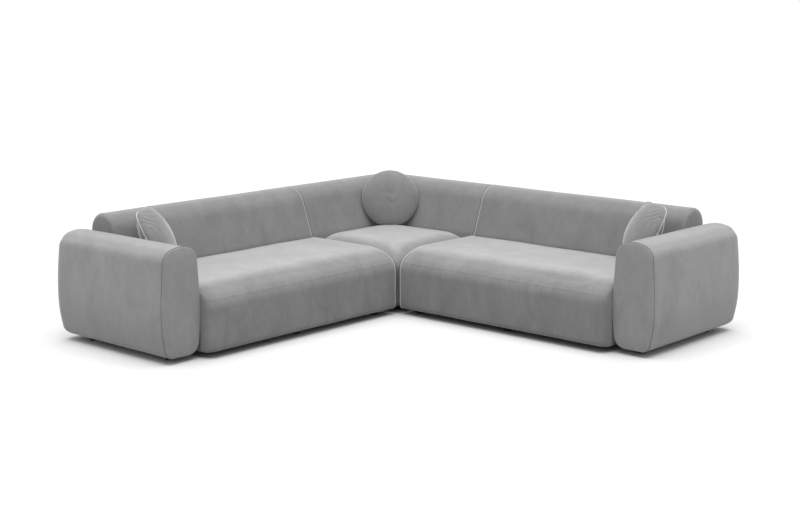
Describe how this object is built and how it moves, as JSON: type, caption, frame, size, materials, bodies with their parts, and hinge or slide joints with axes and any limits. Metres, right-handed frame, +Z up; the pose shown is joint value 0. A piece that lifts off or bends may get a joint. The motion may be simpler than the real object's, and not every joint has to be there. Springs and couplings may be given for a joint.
{
  "type": "corner sofa",
  "caption": "L-shaped corner sofa in plain grey velvet, a square corner module hooked to a long wing on each side, rounded arms, crowned seats and loose scatter cushions.",
  "frame": {"origin": "on the floor, under the middle of the square that the sofa fills", "axes": "+Z up; the sofa's corner is at -X +Y, one wing runs along +X with its back at +Y, the other along -Y with its back at -X"},
  "size_m": [2.913, 2.913, 0.7902],
  "materials": {
    "velvet": "soft grey velvet, matt with a low sheen",
    "cushion_velvet": "the same grey velvet on the scatter cushions",
    "velvet_piping": "piping covered in the same velvet",
    "foam": "open-celled upholstery foam",
    "fibre_fill": "hollow fibre in a lining",
    "timber": "planed softwood, unfinished",
    "plywood": "unfinished plywood",
    "spring_steel": "oiled spring wire",
    "zinc_steel": "zinc-plated steel",
    "bracket_steel": "black enamelled steel strip",
    "webbing": "woven elastic webbing",
    "lining": "black non-woven lining",
    "moulded_plastic": "black moulded plastic"
  },
  "bodies": {
    "corner_module": {"corner_base_frame": "timber", "corner_seat_springs": "spring_steel", "corner_seat_foam": "foam", "corner_seat_cover": "velvet", "corner_back_frame": "timber", "corner_back_webbing": "webbing", "corner_back_foam": "foam", "corner_back_cover": "velvet", "corner_underside_cloth": "lining", "corner_feet": "moulded_plastic", "corner_screws": "zinc_steel", "corner_frame_bolts": "zinc_steel", "corner_module_catches": "bracket_steel"},
    "right_module": {"right_base_frame": "timber", "right_seat_springs": "spring_steel", "right_seat_foam": "foam", "right_seat_cover": "velvet", "right_seat_piping": "velvet_piping", "right_back_frame": "timber", "right_back_webbing": "webbing", "right_back_foam": "foam", "right_back_cover": "velvet", "right_back_piping": "velvet_piping", "right_arm_frame": "plywood", "right_arm_foam": "foam", "right_arm_cover": "velvet", "right_arm_piping": "velvet_piping", "right_underside_cloth": "lining", "right_feet": "moulded_plastic", "right_screws": "zinc_steel", "right_frame_bolts": "zinc_steel", "right_module_hooks": "bracket_steel"},
    "left_module": {"left_base_frame": "timber", "left_seat_springs": "spring_steel", "left_seat_foam": "foam", "left_seat_cover": "velvet", "left_seat_piping": "velvet_piping", "left_back_frame": "timber", "left_back_webbing": "webbing", "left_back_foam": "foam", "left_back_cover": "velvet", "left_back_piping": "velvet_piping", "left_arm_frame": "plywood", "left_arm_foam": "foam", "left_arm_cover": "velvet", "left_arm_piping": "velvet_piping", "left_underside_cloth": "lining", "left_feet": "moulded_plastic", "left_screws": "zinc_steel", "left_frame_bolts": "zinc_steel", "left_module_hooks": "bracket_steel"},
    "right_cushion": {"right_cushion_cover": "cushion_velvet", "right_cushion_fill": "fibre_fill"},
    "left_cushion": {"left_cushion_cover": "cushion_velvet", "left_cushion_fill": "fibre_fill"},
    "round_cushion": {"round_cushion_cover": "cushion_velvet", "round_cushion_fill": "fibre_fill"}
  },
  "joints": [
    {"name": "right_module_lift", "type": "slide", "parent": "corner_module", "child": "right_module", "axis": [0, 0, 1], "range_m": [0, 0.06]},
    {"name": "left_module_lift", "type": "slide", "parent": "corner_module", "child": "left_module", "axis": [0, 0, 1], "range_m": [0, 0.06]},
    {"name": "right_cushion_lift", "type": "slide", "parent": "right_module", "child": "right_cushion", "axis": [0, 0, 1], "range_m": [0, 0.25]},
    {"name": "left_cushion_lift", "type": "slide", "parent": "left_module", "child": "left_cushion", "axis": [0, 0, 1], "range_m": [0, 0.25]},
    {"name": "round_cushion_lift", "type": "slide", "parent": "corner_module", "child": "round_cushion", "axis": [0, 0, 1], "range_m": [0, 0.25]}
  ]
}
